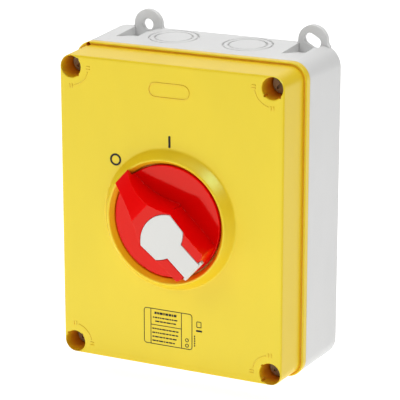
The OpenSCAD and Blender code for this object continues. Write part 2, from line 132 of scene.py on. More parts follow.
# fixing lugs and the channels that lead a screwdriver to them
LUG_R = 8.87
LUG_FOOT_R = 3
LUG_T = 3.3
LUG_Y = 94.3
ROUND_LUG_X = -46.8
SLOT_LUG_X = 56.6
FIXING_R = 3.25
SLOT_HALF = 2
SLOT_TILT = -30
CHANNEL_DEEP = 5.5
CHANNEL_END = 31
CHANNEL_LEFT = 8
CHANNEL_RIGHT = 4
CHANNEL_POCKET_R = 6.4

# knock-outs, and what stands inside the base
ENTRY_X = 23.2
ENTRY_Z = 17
ENTRY_R = 14.5
ENTRY_INNER_R = 11.2
RAIL_POST_X = 44
EARTH_X = 10
EARTH_Y = -62
SMALL_HOLE_R = 1.6

# handle, in the grip frame: u along the grip with its nose at the low end, w across it
DISC_R = 32.3
DISC_TOP = 3.6
DISH_DROP = 1.8
GRIP_TOP = 19.4
GRIP_FOOT_HALF = 12.75
GRIP_REAR_R = 31.6
GRIP_REAR_HALF = 11.75
GRIP_CORNER_R = 1.3
SHOULDER_HALF = 13.9
SHOULDER_R = 1.6
WAIST_CENTRE = (-27.3, 49.55)
WAIST_R = 45
REAR_DRAFT = 0.018
WAIST_DRAFT = 0.04
HUB_R = 8.95
HUB_END = -9
CLIP_GROOVE_R = 7.8
SEAL_GROOVE_R = 7.4
SOCKET = 8.1
THROW = 47.5
REST_ANGLE = THROW - 90
CREASE_U = -11.9
RAMP_CENTRE = (0.1, -35.3)
RAMP_R = 56
NOSE_U = -35.4
NOSE_H = 7.1
UNDERCUT_U = -32.1
UNDERCUT_H = 6.8

# padlock slide, in the same frame
PLATE_T = 2.4
PLATE_GAP = 0.25
PADDLE_FRONT_R = 17.6
PADDLE_REAR_R = 17
PADDLE_REAR_U = 11.5
STEM_HALF = 6.1
STEM_END = 32.2
WEB_HALF = 4.5
BARB_HALF = 5.3
WEB_U = (-2, 27)
WEB_FOOT = 4
CATCH_HALF = 7.6
CATCH_DEEP = 3.4
CATCH_GAP = 0.3
SHACKLE_R = 3
SHACKLE_U = (4, 13, 22)
SHACKLE_H = 13.3
SLIDE_TRAVEL = 9.5

# prints
PRINT_T = 0.15
MARK_R = 45.7
LABEL_PLACE = (-1.4, -64.2)
LABEL_LINE = 0.35

WALL_FRAME = Matrix.Scale(MM, 4) @ Matrix.Rotation(math.pi / 2, 4, "X")
FACE_FRAME = WALL_FRAME @ Matrix.Translation((0, 0, FACE))
GRIP_FRAME = FACE_FRAME @ Matrix.Rotation(math.radians(REST_ANGLE), 4, "Z")

# ---------------------------------------------------------------- outlines and skins


def arc(x, y, radius, start, end, steps):
    """Points of an arc, with both ends; angles in degrees."""
    turns = [math.radians(start + (end - start) * i / steps) for i in range(steps + 1)]
    return [(x + radius * math.cos(t), y + radius * math.sin(t)) for t in turns]


def rounded_rect(width, height, radius, corner=10, up=12, across=10):
    """Outline from the middle of the right side, anticlockwise, with a fixed count of points."""
    flat_x = width / 2 - radius
    flat_y = height / 2 - radius
    quarter = [(width / 2, flat_y * i / up) for i in range(up)]
    quarter += arc(flat_x, flat_y, radius, 0, 90, corner)
    quarter += [(flat_x * (1 - i / across), height / 2) for i in range(1, across)]
    half = quarter + [(0, height / 2)] + [(-x, y) for x, y in reversed(quarter[1:])]
    return half + [(-x, -y) for x, y in half]


def circle(radius, count=128):
    return arc(0, 0, radius, 0, 360 * (1 - 1 / count), count - 1)


def stadium(half_len, radius, steps=12):
    return arc(half_len, 0, radius, -90, 90, steps) + arc(-half_len, 0, radius, 90, 270, steps)


def turned(outline, degrees, x=0.0, y=0.0):
    """Turns an outline about the origin, then moves it."""
    c, s = math.cos(math.radians(degrees)), math.sin(math.radians(degrees))
    return [(x + c * u - s * v, y + s * u + c * v) for u, v in outline]


def grown(outline, distance):
    """Moves each side of an anticlockwise outline outwards by a distance."""
    moved = []
    for i, (x, y) in enumerate(outline):
        before = Vector((x, y)) - Vector(outline[i - 1])
        after = Vector(outline[(i + 1) % len(outline)]) - Vector((x, y))
        out_a = Vector((before.y, -before.x)).normalized()
        out_b = Vector((after.y, -after.x)).normalized()
        bisector = (out_a + out_b) / max(0.35, 1 + out_a.dot(out_b))
        moved.append((x + distance * bisector.x, y + distance * bisector.y))
    return moved


def at(outline, z):
    return [(x, y, z) for x, y in outline]


def skin(rings):
    """Closed solid through rings of equally many points."""
    bm = bmesh.new()
    rows = [[bm.verts.new(point) for point in ring] for ring in rings]
    for lower, upper in zip(rows, rows[1:]):
        for i in range(len(lower)):
            bm.faces.new((lower[i - 1], lower[i], upper[i], upper[i - 1]))
    bm.faces.new(list(reversed(rows[0])))
    bm.faces.new(rows[-1])
    return facing_out(bm)


def facing_out(bm):
    if bm.calc_volume(signed=True) < 0:
        bmesh.ops.reverse_faces(bm, faces=bm.faces)
    return bm


def slab(outline, low, high, edge=0.0, steps=3):
    """Upright prism with its top edge rounded by a radius."""
    rings = [at(outline, low)]
    for inset, drop in arc(0, 0, edge, 0, 90, steps) if edge else [(0, 0)]:
        rings.append(at(grown(outline, inset - edge), high - edge + drop))
    return skin(rings)


def spun(profile, count=64):
    """Solid of revolution from (radius, height) points that run from the bottom to the top."""
    return skin([at(circle(radius, count), height) for radius, height in profile])


def block(low, high):
    """Box between two corners, as a solid for cutting with."""
    outline = [(high[0], low[1]), (high[0], high[1]), (low[0], high[1]), (low[0], low[1])]
    return skin([at(outline, low[2]), at(outline, high[2])])


def placed(bm, matrix):
    bm.transform(matrix)
    return facing_out(bm)


def moved(bm, x=0.0, y=0.0, z=0.0, turn=0.0):
    return placed(bm, Matrix.Translation((x, y, z)) @ Matrix.Rotation(math.radians(turn), 4, "Z"))


def gathered(solids):
    """Puts solids that don't touch each other into one mesh."""
    whole = bmesh.new()
    for bm in solids:
        mesh = bpy.data.meshes.new("part")
        bm.to_mesh(mesh)
        bm.free()
        whole.from_mesh(mesh)
        bpy.data.meshes.remove(mesh)
    return whole


def combined(solid, operation, *tools):
    """Solid after a boolean with each tool in turn."""
    objects = []
    for bm in (solid, *tools):
        mesh = bpy.data.meshes.new("part")
        bm.to_mesh(mesh)
        bm.free()
        objects.append(bpy.data.objects.new("part", mesh))
        bpy.context.scene.collection.objects.link(objects[-1])
    for tool in objects[1:]:
        modifier = objects[0].modifiers.new("boolean", "BOOLEAN")
        modifier.operation = operation
        modifier.solver = "MANIFOLD"
        modifier.object = tool
    result = bmesh.new()
    result.from_object(objects[0], bpy.context.evaluated_depsgraph_get())
    for made in objects:
        mesh = made.data
        bpy.data.objects.remove(made)
        bpy.data.meshes.remove(mesh)
    return result


def cut(solid, *tools):
    return combined(solid, "DIFFERENCE", *tools)


def joined(solid, *tools):
    return combined(solid, "UNION", *tools)


def at_wells(make, z=0.0):
    """One copy of a solid at each screw well, turned so that its x and y face into the lid."""
    return gathered(
        moved(make(), side * WELL_X, up * WELL_Y, z, 90 * quarter)
        for side, up, quarter in WELLS.values()
    )


# ---------------------------------------------------------------- materials


class Finish:
    """A Principled material whose nodes are laid out by short calls."""

    def __init__(self, name, **sockets):
        self.material = bpy.data.materials.new(name)
        self.material.use_nodes = True
        self.nodes = self.material.node_tree.nodes
        self.links = self.material.node_tree.links
        self.shader = self.nodes["Principled BSDF"]
        for socket, value in sockets.items():
            self.shader.inputs[socket.replace("_", " ")].default_value = value
        self.place = self.nodes.new("ShaderNodeTexCoord").outputs["Object"]

    def fill(self, socket, value):
        """Links an input to another node's output, or sets its value."""
        if isinstance(value, bpy.types.NodeSocket):
            self.links.new(value, socket)
        else:
            socket.default_value = value

    def node(self, kind, **inputs):
        made = self.nodes.new("ShaderNode" + kind)
        for key, value in inputs.items():
            self.fill(made.inputs[key.replace("_", " ")], value)
        return made

    def noise(self, size_mm, detail=2.0, stretch=None):
        """Noise of about one blob per size_mm, from 0 to 1."""
        place = self.place
        if stretch:
            place = self.node("Mapping", Vector=place, Scale=stretch).outputs[0]
        made = self.node("TexNoise", Vector=place, Scale=1 / (size_mm * MM), Detail=detail)
        return made.outputs["Fac"]

    def ranged(self, value, low, high, to_low, to_high):
        made = self.node(
            "MapRange", Value=value, From_Min=low, From_Max=high, To_Min=to_low, To_Max=to_high
        )
        return made.outputs[0]

    def mixed(self, factor, first, second):
        made = self.nodes.new("ShaderNodeMix")
        made.data_type = "RGBA"
        for index, value in ((0, factor), (6, first), (7, second)):
            self.fill(made.inputs[index], value)
        return made.outputs[2]

    def product(self, first, second):
        made = self.nodes.new("ShaderNodeMath")
        made.operation = "MULTIPLY"
        for socket, value in zip(made.inputs, (first, second)):
            self.fill(socket, value)
        return made.outputs[0]

    def edges(self, radius_mm):
        """1 on sharp edges and 0 on flat faces."""
        soft = self.node("Bevel", Radius=radius_mm * MM)
        soft.samples = 4
        dot = self.nodes.new("ShaderNodeVectorMath")
        dot.operation = "DOT_PRODUCT"
        self.links.new(soft.outputs[0], dot.inputs[0])
        self.links.new(self.nodes.new("ShaderNodeNewGeometry").outputs["Normal"], dot.inputs[1])
        return self.ranged(dot.outputs["Value"], 0.97, 0.75, 0.0, 1.0)

    def hollow_shade_mask(self, reach_mm):
        """Mask for painted shade: 1 far inside a hollow and 0 in the open, from ambient occlusion."""
        sky = self.node("AmbientOcclusion", Distance=reach_mm * MM)
        sky.samples = 6
        return self.ranged(sky.outputs["AO"], 0.75, 0.2, 0.0, 1.0)

    def feed(self, socket, value):
        self.links.new(value, self.shader.inputs[socket])

    def relief(self, height, depth_mm, round_mm=0.0):
        """Bump of a given depth, over edges softened by a radius."""
        bump = self.node("Bump", Height=height, Distance=depth_mm * MM)
        if round_mm:
            soft = self.node("Bevel", Radius=round_mm * MM)
            soft.samples = 4
            self.links.new(soft.outputs[0], bump.inputs["Normal"])
        self.feed("Normal", bump.outputs[0])


def shade(colour, factor):
    return tuple(min(1.0, c * factor) for c in colour[:3]) + (1.0,)


def moulded(name, colour, roughness, grain_mm=0.35, depth_mm=0.012, specular=0.5, wear=0.25,
            sheen=(1, 1, 1, 1), hollow_shade=None):
    """Injection-moulded plastic: fine grain, faint flow marks and paler rubbed edges.

    Its gloss takes the colour sheen. An optional hollow colour is painted shade, mixed into the base
    colour where ambient occlusion finds a hollow.
    """
    finish = Finish(name, Specular_IOR_Level=specular, Specular_Tint=sheen)
    flow = finish.noise(28, 3.0, (1.0, 1.0, 0.45))
    grain = finish.noise(grain_mm, 2.0)
    flow_share = finish.ranged(flow, 0.3, 0.7, 0, 1)
    tone = finish.mixed(flow_share, shade(colour, 0.975), shade(colour, 1.025))
    tone = finish.mixed(finish.ranged(grain, 0.3, 0.7, 0, 0.35), tone, shade(colour, 0.94))
    # painted shade: the base colour darkens towards the hollow colour inside a hollow
    if hollow_shade:
        tone = finish.mixed(finish.hollow_shade_mask(12), tone, hollow_shade)
    rubbed = finish.product(finish.edges(0.35), finish.ranged(finish.noise(2.5), 0.45, 0.7, 0, wear))
    pale = tuple(0.55 * c + 0.45 for c in colour[:3]) + (1.0,)
    finish.feed("Base Color", finish.mixed(rubbed, tone, pale))
    finish.feed("Roughness", finish.ranged(grain, 0.25, 0.75, 0.9 * roughness, 1.15 * roughness))
    finish.relief(grain, depth_mm, 0.25)
    return finish.material


def metal(name, colour, roughness, brush=(1.0, 1.0, 1.0), dull=(0.3, 0.28, 0.26, 1.0)):
    """Bare or plated metal: drawn lines, duller patches and bright worn edges."""
    finish = Finish(name, Metallic=1.0)
    lines = finish.noise(0.5, 3.0, brush)
    patches = finish.noise(6, 4.0)
    tone = finish.mixed(finish.ranged(patches, 0.45, 0.75, 0, 0.35), colour, dull)
    worn = finish.product(finish.edges(0.25), 0.4)
    finish.feed("Base Color", finish.mixed(worn, tone, shade(colour, 1.3)))
    finish.feed("Roughness", finish.ranged(lines, 0.2, 0.8, roughness - 0.06, roughness + 0.14))
    finish.relief(lines, 0.006, 0.12)
    return finish.material


def rubber(name, colour):
    """Moulded elastomer: matt, with a dusty bloom and a fine pitted skin."""
    finish = Finish(name, Specular_IOR_Level=0.35)
    bloom = finish.noise(3, 4.0)
    dusty = finish.ranged(bloom, 0.45, 0.8, 0, 0.5)
    finish.feed("Base Color", finish.mixed(dusty, colour, (0.09, 0.09, 0.09, 1)))
    finish.feed("Roughness", finish.ranged(bloom, 0.3, 0.7, 0.62, 0.85))
    finish.relief(finish.noise(0.18), 0.02, 0.15)
    return finish.material


def ink(name, colour):
    """Pad-printed ink: thin and slightly uneven in tone and gloss."""
    finish = Finish(name, Specular_IOR_Level=0.12)
    spots = finish.noise(0.3, 3.0)
    thin = finish.ranged(spots, 0.55, 0.8, 0, 0.5)
    finish.feed("Base Color", finish.mixed(thin, colour, (0.07, 0.06, 0.04, 1)))
    finish.feed("Roughness", finish.ranged(spots, 0.3, 0.7, 0.42, 0.6))
    finish.relief(spots, 0.01)
    return finish.material


RED_SHEEN = (0.95, 0.2, 0.15, 1)
# The yellow's hollow colour is painted shade: a darker orange that stands in for shade and bounce light
# in the wells, grooves and collar slopes.
YELLOW = moulded("yellow_moulding", (0.87, 0.60, 0.01, 1), 0.36, sheen=(0.35, 1, 0.5, 1),
                 hollow_shade=(0.84, 0.27, 0.002, 1))
GREY = moulded("grey_moulding", (0.72, 0.72, 0.715, 1), 0.45)
# One red plastic in three copies. The ramp and sides get a lighter base colour than the front, which is
# painted light for how the light falls on them, and each copy has its own gloss tint.
RED_FRONT = moulded("red_front", (0.70, 0.001, 0.001, 1), 0.1, 0.6, 0.001, sheen=RED_SHEEN)
RED_RAMP_PAINTED_LIGHTER = moulded("red_ramp_painted_lighter", (0.88, 0.001, 0.001, 1), 0.2, 0.6, 0.002, 0.2,
                   sheen=(1, 0.04, 0.04, 1))
RED_WALL_PAINTED_LIGHTER = moulded("red_wall_painted_lighter", (0.88, 0.001, 0.001, 1), 0.18, 0.6, 0.002,
                   sheen=(1, 0.12, 0.08, 1))
PALE = moulded("pale_moulding", (0.67, 0.67, 0.645, 1), 0.4, 0.3, 0.008)
SCREW_PLASTIC = moulded("screw_moulding", (0.36, 0.28, 0.19, 1), 0.4, 0.4, 0.008)
DARK = moulded("dark_glass_filled", (0.075, 0.075, 0.08, 1), 0.5, 0.5, 0.02, wear=0.35)
MID_GREY = moulded("latch_moulding", (0.42, 0.42, 0.43, 1), 0.42)
IVORY = moulded("rotor_moulding", (0.76, 0.73, 0.66, 1), 0.4)
BRASS = metal("stamped_brass", (0.80, 0.58, 0.27, 1), 0.3, (1, 8, 1), (0.36, 0.22, 0.1, 1))
ZINC = metal("bright_zinc", (0.72, 0.73, 0.72, 1), 0.28, (6, 1, 1))
SPRING_STEEL = metal("spring_steel", (0.55, 0.55, 0.56, 1), 0.22, (1, 1, 8))
RUBBER = rubber("black_rubber", (0.022, 0.022, 0.022, 1))
INK = ink("black_ink", (0.012, 0.012, 0.012, 1))

# ---------------------------------------------------------------- pieces


def shown(name, bm, place, body, materials, nodes, sort=None, sharp=32):
    """Makes a piece from a mesh, rides it on its body and gives it its finish.

    A sort function gives the index of each face's material.
    """
    bmesh.ops.remove_doubles(bm, verts=bm.verts, dist=0.0005)
    bmesh.ops.dissolve_degenerate(bm, edges=bm.edges, dist=0.0005)
    bm.normal_update()
    if sort:
        for face in bm.faces:
            face.material_index = sort(face)
    bm.transform(place)
    mesh = bpy.data.meshes.new(name)
    bm.to_mesh(mesh)
    bm.free()
    for material in materials:
        mesh.materials.append(material)
    mesh.polygons.foreach_set("use_smooth", [True] * len(mesh.polygons))
    mesh.set_sharp_from_angle(angle=math.radians(sharp))
    piece = bpy.data.objects.new(name, mesh)
    bpy.context.scene.collection.objects.link(piece)
    weights = piece.modifiers.new("flat_faces", "WEIGHTED_NORMAL")
    weights.keep_sharp = True
    weights.weight = 100
    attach(piece, body)
    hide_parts(*nodes)


# ---------------------------------------------------------------- lid


def rim_ring(inset, z):
    """Rounded rectangle inset from the box's rim."""
    return at(rounded_rect(RIM_W - 2 * inset, RIM_H - 2 * inset, max(RIM_R - inset, 1.5)), z)


def lid_profile():
    """(inset, height) of the lid's outside, from the seam over the flange and up the wall to its face."""
    flange = [(0.9 - x, FLANGE_TOP - 0.9 + y) for x, y in arc(0, 0, 0.9, 0, 90, 4)]
    groove = arc(1.42, FLANGE_TOP, 0.42, 180, 360, 5)
    wall = [(WALL_FOOT, FLANGE_TOP + 0.5)]
    wall += [
        (WALL_HEAD + FRONT_ROUND - x, FACE - FRONT_ROUND + y)
        for x, y in arc(0, 0, FRONT_ROUND, 0, 90, 6)
    ]
    return [(0.3, SEAM + SEAM_GAP), (0, SEAM + 0.45)] + flange + groove + wall


def collar_profile():
    """(radius, height) of the collar, from its outer foot over the crest to the floor inside."""
    foot = arc(COLLAR_FOOT_R, 1.4, 1.4, 270, 205, 4)
    crest = arc(COLLAR_CREST_R, COLLAR_H - 1, 1, 32, 148, 6)
    inside = [(COLLAR_IN_R + 0.2, 3.2), (COLLAR_IN_R, 2.8), (COLLAR_IN_R, 0)]
    return foot + [(39.0, 2.1), (38.2, 3.5)] + crest + inside


def lid_shell():
    rings = [rim_ring(inset, z) for inset, z in lid_profile()]
    rings += [at(circle(radius), FACE + height) for radius, height in collar_profile()]
    return skin(rings)


def lid_cavity():
    """Room inside the lid, with the four screw columns and the bush's boss left standing."""
    room = skin([
        rim_ring(3.25, SEAM - 1),
        rim_ring(3.25, LEDGE),
        rim_ring(INNER + 0.3, LEDGE),
        rim_ring(INNER, FACE - WALL - 0.6),
        rim_ring(INNER + 0.6, FACE - WALL)
    ])
    ceiling = FACE - WALL
    column = [(COLUMN_R + 0.2, LEDGE), (COLUMN_R, ceiling - 1), (COLUMN_R + 0.6, ceiling + 1)]
    boss = [(BOSS_R, ceiling - 2), (BOSS_R + 0.3, ceiling - 1.7), (BOSS_R + 0.7, ceiling + 1)]
    return cut(room, at_wells(lambda: spun(column)), spun(boss))


def well_cutter():
    """Stepped room for a screw, with a rounded mouth."""
    foot = [(WELL_R - 0.2, WELL_FLOOR), (WELL_R, WELL_FLOOR + 0.4)]
    mouth = [(WELL_R + 0.5 - x, FACE - 0.5 + y) for x, y in arc(0, 0, 0.5, 0, 90, 4)]
    return spun(foot + mouth + [(WELL_R + 0.6, FACE + 4)])


def screw_hole():
    """Hole for a screw's shank, drawn in to a thin lip that holds the screw by its neck."""
    wide = SCREW_R + 0.3
    narrow = NECK_R + 0.2
    lip = LEDGE + LIP_T
    return spun([(narrow, SEAM), (narrow, lip), (wide, lip + 0.3), (wide, FACE)], 32)


def key_notches():
    """Two small notches in the mouth of a well."""
    return gathered(
        moved(spun([(0.8, FACE - 4), (0.8, FACE + 4)], 16), *turned([(WELL_R, 0)], angle)[0])
        for angle in (45, 135)
    )


def bar(x, y, length, width, turn, high):
    """Low raised bar with round ends, on the lid's face."""
    outline = turned(stadium(length / 2 - width / 2, width / 2, 4), turn, x, y)
    return slab(outline, DETAIL_FOOT, high, 0.12, 2)


def turn_marks():
    """Raised arc and end ticks beside a well, showing the screw's quarter turn."""
    inner, outer = TURN_ARC_R
    band = arc(0, 0, outer, 12, 78, 14) + arc(0, 0, inner, 78, 12, 14)
    marks = [slab(band, DETAIL_FOOT, 0.28, 0.1, 2)]
    for angle in (0, 90):
        for side in (-0.8, 0.8):
            x, y = turned([(TICK_R, side)], angle)[0]
            marks.append(bar(x, y, 2.6, 0.6, angle, 0.32))
    return gathered(marks)


def name_frame():
    """Raised empty frame with round ends and softened edges."""
    high = 0.4
    width = 0.55
    outer = slab(stadium(NAME_FRAME_HALF, NAME_FRAME_R), DETAIL_FOOT, high, 0.12, 2)
    inner = slab(stadium(NAME_FRAME_HALF, NAME_FRAME_R - width), DETAIL_FOOT - 1, high + 1)
    return moved(cut(outer, inner), *NAME_FRAME_PLACE, FACE)


def lid_mesh():
    lid = cut(
        lid_shell(),
        lid_cavity(),
        at_wells(well_cutter),
        at_wells(key_notches),
        at_wells(screw_hole),
        spun([(BUSH_R, FACE - 9), (BUSH_R, FACE + 2)]),
        moved(spun([(SEAL_HOLE_R, SEAM + 0.8), (SEAL_HOLE_R, SEAM + 6.4)], 24), *SEAL_HOLE_PLACE)
    )
    return joined(lid, name_frame(), at_wells(turn_marks, FACE))


def make_lid():
    shown("lid_cover", lid_mesh(), WALL_FRAME, "lid", [YELLOW], ["lid"])


# ---------------------------------------------------------------- base box


def back_ring(share, inset=0.0, z=None):
    """Outline of the base at a share of its depth, from the wall to the seam."""
    width = BACK_W + (RIM_W - BACK_W) * share - 2 * inset
    height = BACK_H + (RIM_H - BACK_H) * share - 2 * inset
    radius = BACK_R + (RIM_R - BACK_R) * share - inset
    return at(rounded_rect(width, height, max(radius, 1.5)), SEAM * share if z is None else z)


def both_ends(solids):
    """The solids as they are and turned half round."""
    whole = gathered(solids)
    return gathered([whole.copy(), moved(whole, turn=180)])


def lug(x):
    """Flat ear with a round top, its edges softened, running down into the box."""
    outline = arc(x, LUG_Y, LUG_R, 0, 180, 24)
    outline += arc(x - LUG_R - LUG_FOOT_R, LUG_Y, LUG_FOOT_R, -10, -60, 4)
    outline += [(x - LUG_R, BACK_H / 2 - 6), (x + LUG_R, BACK_H / 2 - 6)]
    outline += arc(x + LUG_R + LUG_FOOT_R, LUG_Y, LUG_FOOT_R, 240, 190, 4)
    return slab(outline, 0, LUG_T, 0.5, 3)


def lug_hole(x, shape, tilt=0):
    """Hole through a lug, opening slightly at both faces."""
    plan = turned(shape, tilt, x, LUG_Y)
    mouth = grown(plan, 0.35)
    return skin([
        at(grown(plan, 0.6), -0.4),
        at(plan, 0.3),
        at(plan, LUG_T - 0.35),
        at(mouth, LUG_T),
        at(mouth, LUG_T + 8)
    ])


def channel(x, grow=0.0):
    """Ramp in the top wall that lets a screwdriver reach a lug's screw."""
    high = BACK_H / 2 + 2
    profile = [
        (BACK_H / 2 - CHANNEL_DEEP - grow, LUG_T - grow),
        (BACK_H / 2 - 0.8 - grow, CHANNEL_END + grow),
        (high, CHANNEL_END + grow),
        (high, LUG_T - grow)
    ]
    left = x - CHANNEL_LEFT - grow
    right = x + CHANNEL_RIGHT + grow
    ramp = skin([
        [(left, y, z) for y, z in profile],
        [(left + 0.9, y, z) for y, z in profile],
        [(right, y, z) for y, z in profile]
    ])
    pocket_r = CHANNEL_POCKET_R + grow
    pocket = spun([(pocket_r, LUG_T - grow), (pocket_r, LUG_T + 8 + grow)], 32)
    return joined(ramp, moved(pocket, x, LUG_Y))


def entry_groove(radius):
    """Ring groove of a knock-out with widened mouth, round the z axis."""
    ring = spun([
        (radius - 0.8, -1.1), (radius, -1.1), (radius + 0.05, -0.25), (radius + 0.3, 0.02),
        (radius + 0.3, 2)
    ], 96)
    core = spun([
        (radius - 0.8, -2), (radius - 0.82, -0.25), (radius - 1.1, 0.02), (radius - 1.1, 3)
    ], 96)
    return cut(ring, core)


def entry_grooves():
    """Grooves of the stepped knock-outs, square to the sloping end walls."""
    slope = math.radians(WALL_SLOPE)
    wall_y = BACK_H / 2 - ENTRY_Z * math.tan(slope)
    tilt = Matrix.Rotation(math.radians(WALL_SLOPE - 90), 4, "X")
    return both_ends(
        placed(entry_groove(radius), Matrix.Translation((x, wall_y, ENTRY_Z)) @ tilt)
        for x in (-ENTRY_X, ENTRY_X)
        for radius in (ENTRY_R, ENTRY_INNER_R)
    )


def base_shell():
    rings = [back_ring(0, 0.8, 0), back_ring(0, 0.25, 0.25), back_ring(0, 0, 0.8)]
    rings += [back_ring(0.5), back_ring(1, 0, SEAM - 0.4), back_ring(1, 0.35, SEAM)]
    return skin(rings)


def base_cavity():
    """Room inside the base, with its posts and the backs of the channels left standing."""
    room = skin([
        back_ring(0, WALL + 1, WALL),
        back_ring(0, WALL, WALL + 1),
        back_ring(1, WALL, SEAM + 6)
    ])
    post = [(POST_R + 0.6, -1), (POST_R, POST_TOP - 0.4), (POST_R - 0.4, POST_TOP)]
    posts = at_wells(lambda: spun(post, 48))
    rail_posts = gathered(
        moved(spun([(5.6, 0), (5, 8)], 32), side * RAIL_POST_X) for side in (-1, 1)
    )
    earth_seat = block((-17, -68, 0), (17, -56, 6))
    backs = both_ends(channel(x, 2.2) for x in (ROUND_LUG_X, SLOT_LUG_X))
    return cut(room, posts, rail_posts, earth_seat, backs)


def base_mesh():
    tongue = cut(
        skin([
            rim_ring(TONGUE_OUT, SEAM - 2),
            rim_ring(TONGUE_OUT, SEAM + 2.6),
            rim_ring(TONGUE_OUT + 0.4, SEAM + 3)
        ]),
        skin([rim_ring(TONGUE_IN, SEAM - 3), rim_ring(TONGUE_IN, SEAM + 4)])
    )
    post_hole = [
        (POST_HOLE_R, 22), (POST_HOLE_R, POST_TOP - 0.4), (POST_HOLE_R + 0.4, POST_TOP),
        (POST_HOLE_R + 0.4, SEAM + 5)
    ]
    small_holes = [(-RAIL_POST_X, 0), (RAIL_POST_X, 0), (-EARTH_X, EARTH_Y), (EARTH_X, EARTH_Y)]
    hollow = cut(base_shell(), base_cavity())
    lugs = both_ends(lug(x) for x in (ROUND_LUG_X, SLOT_LUG_X))
    base = joined(hollow, tongue, lugs)
    return cut(
        base,
        both_ends(channel(x) for x in (ROUND_LUG_X, SLOT_LUG_X)),
        both_ends([
            lug_hole(ROUND_LUG_X, circle(FIXING_R, 48)),
            lug_hole(SLOT_LUG_X, stadium(SLOT_HALF, FIXING_R, 16), SLOT_TILT)
        ]),
        entry_grooves(),
        at_wells(lambda: spun(post_hole, 32)),
        gathered(
            moved(spun([(SMALL_HOLE_R, 2), (SMALL_HOLE_R, 9)], 24), x, y) for x, y in small_holes
        )
    )


def make_base():
    shown("base_housing", base_mesh(), WALL_FRAME, "base", [GREY], ["base_box"])


# ---------------------------------------------------------------- handle


def grip_plan(height):
    """Plan of the grip at a height above the face: hollow-sided nose, flared shoulders, narrower body."""
    lean = GRIP_TOP - height
    share = lean / (GRIP_TOP - DISC_TOP)

    def half(top_half):
        return top_half + share * (GRIP_FOOT_HALF - top_half)

    rear_r = GRIP_REAR_R + REAR_DRAFT * lean
    corner_w = half(GRIP_REAR_HALF) - GRIP_CORNER_R
    corner_u = math.sqrt((rear_r - GRIP_CORNER_R) ** 2 - corner_w ** 2)
    turn = math.degrees(math.atan2(corner_w, corner_u))
    side = arc(corner_u, corner_w, GRIP_CORNER_R, turn, 90, 4)
    side += [(22, half(11.85)), (15.4, half(12.05)), (13, half(12.7)), (7, half(13.2))]
    side += arc(0.9 - 0.9 * share, half(SHOULDER_HALF) - SHOULDER_R, SHOULDER_R, 88, 125, 4)
    waist_u, waist_w = WAIST_CENTRE
    side += arc(waist_u, waist_w + WAIST_DRAFT * lean, WAIST_R, 305, 258, 20)
    rear = arc(0, 0, rear_r, -turn, turn, 12)[1:-1]
    return rear + side + [(u, -w) for u, w in reversed(side)]


def grip_side_cutter():
    """Side view of the grip: rear, flat top, a ramp that bulges a little and the undercut nose."""
    profile = [(40, DISC_GAP), (40, GRIP_TOP), (CREASE_U, GRIP_TOP)]
    profile += arc(*RAMP_CENTRE, RAMP_R, 104.5, 129.3, 11)
    profile += [(NOSE_U, NOSE_H), (UNDERCUT_U, UNDERCUT_H), (UNDERCUT_U, DISC_GAP)]
    return skin([[(u, w, h) for u, h in profile] for w in (20, -20)])


def round_edges(bm, pick, size):
    """Rounds the edges that pick chooses."""
    bm.normal_update()
    edges = [edge for edge in bm.edges if len(edge.link_faces) == 2 and pick(edge)]
    bmesh.ops.bevel(
        bm, geom=edges, offset=size, segments=3, profile=0.5, affect="EDGES", clamp_overlap=True
    )
    return bm


def grip_rim(edge):
    """True on the edges that part the grip's ramp and top from its sides."""
    first, second = (face.normal.z for face in edge.link_faces)
    lowest = min(vert.co.z for vert in edge.verts)
    return lowest > NOSE_H and max(first, second) > 0.7 and min(first, second) < 0.4


def grip_solid():
    heights = (DISC_GAP - 1, 3.5, 12, GRIP_TOP + 1)
    tall = skin([at(grip_plan(height), height) for height in heights])
    return round_edges(combined(tall, "INTERSECT", grip_side_cutter()), grip_rim, 0.5)


def disc_solid():
    """Disc under the grip: a rounded rim round a front that falls gently towards the middle."""
    foot = [(DISC_R - 0.4, DISC_GAP), (DISC_R, DISC_GAP + 0.4)]
    rim = [(DISC_R - 0.5 + x, DISC_TOP - 0.5 + y) for x, y in arc(0, 0, 0.5, 0, 87, 4)]
    return spun(foot + rim + [(0.5, DISC_TOP - DISH_DROP)], 160)


def hub_solid():
    """Spindle through the lid's bush, with grooves for the seal and the clip."""
    return spun([
        (HUB_R - 0.6, HUB_END), (HUB_R, HUB_END + 0.6),
        (HUB_R, -6.8), (CLIP_GROOVE_R, -6.8), (CLIP_GROOVE_R, -5.6), (HUB_R, -5.6),
        (HUB_R, -2.4), (SEAL_GROOVE_R, -2.4), (SEAL_GROOVE_R, -0.8), (HUB_R, -0.8),
        (HUB_R, DISC_TOP - 1.5)
    ], 96)


def plate_plan(grow=0.0, stem_end=STEM_END):
    """Outline of the padlock slide's plate: a rounded paddle with a straight stem."""
    rear_r = PADDLE_REAR_R + grow
    front_r = PADDLE_FRONT_R + grow
    stem = STEM_HALF + grow
    rear = math.degrees(math.asin((13.35 + grow) / rear_r))
    outer = math.degrees(math.asin((12.35 + grow) / front_r))
    inner = math.degrees(math.asin(stem / front_r))
    paddle = arc(0, 0, front_r, inner, outer, 5)
    paddle += arc(PADDLE_REAR_U, 0, rear_r, 180 - rear, 180 + rear, 24)
    paddle += arc(0, 0, front_r, -outer, -inner, 5)
    return paddle + [(stem_end, -stem), (stem_end, stem)]


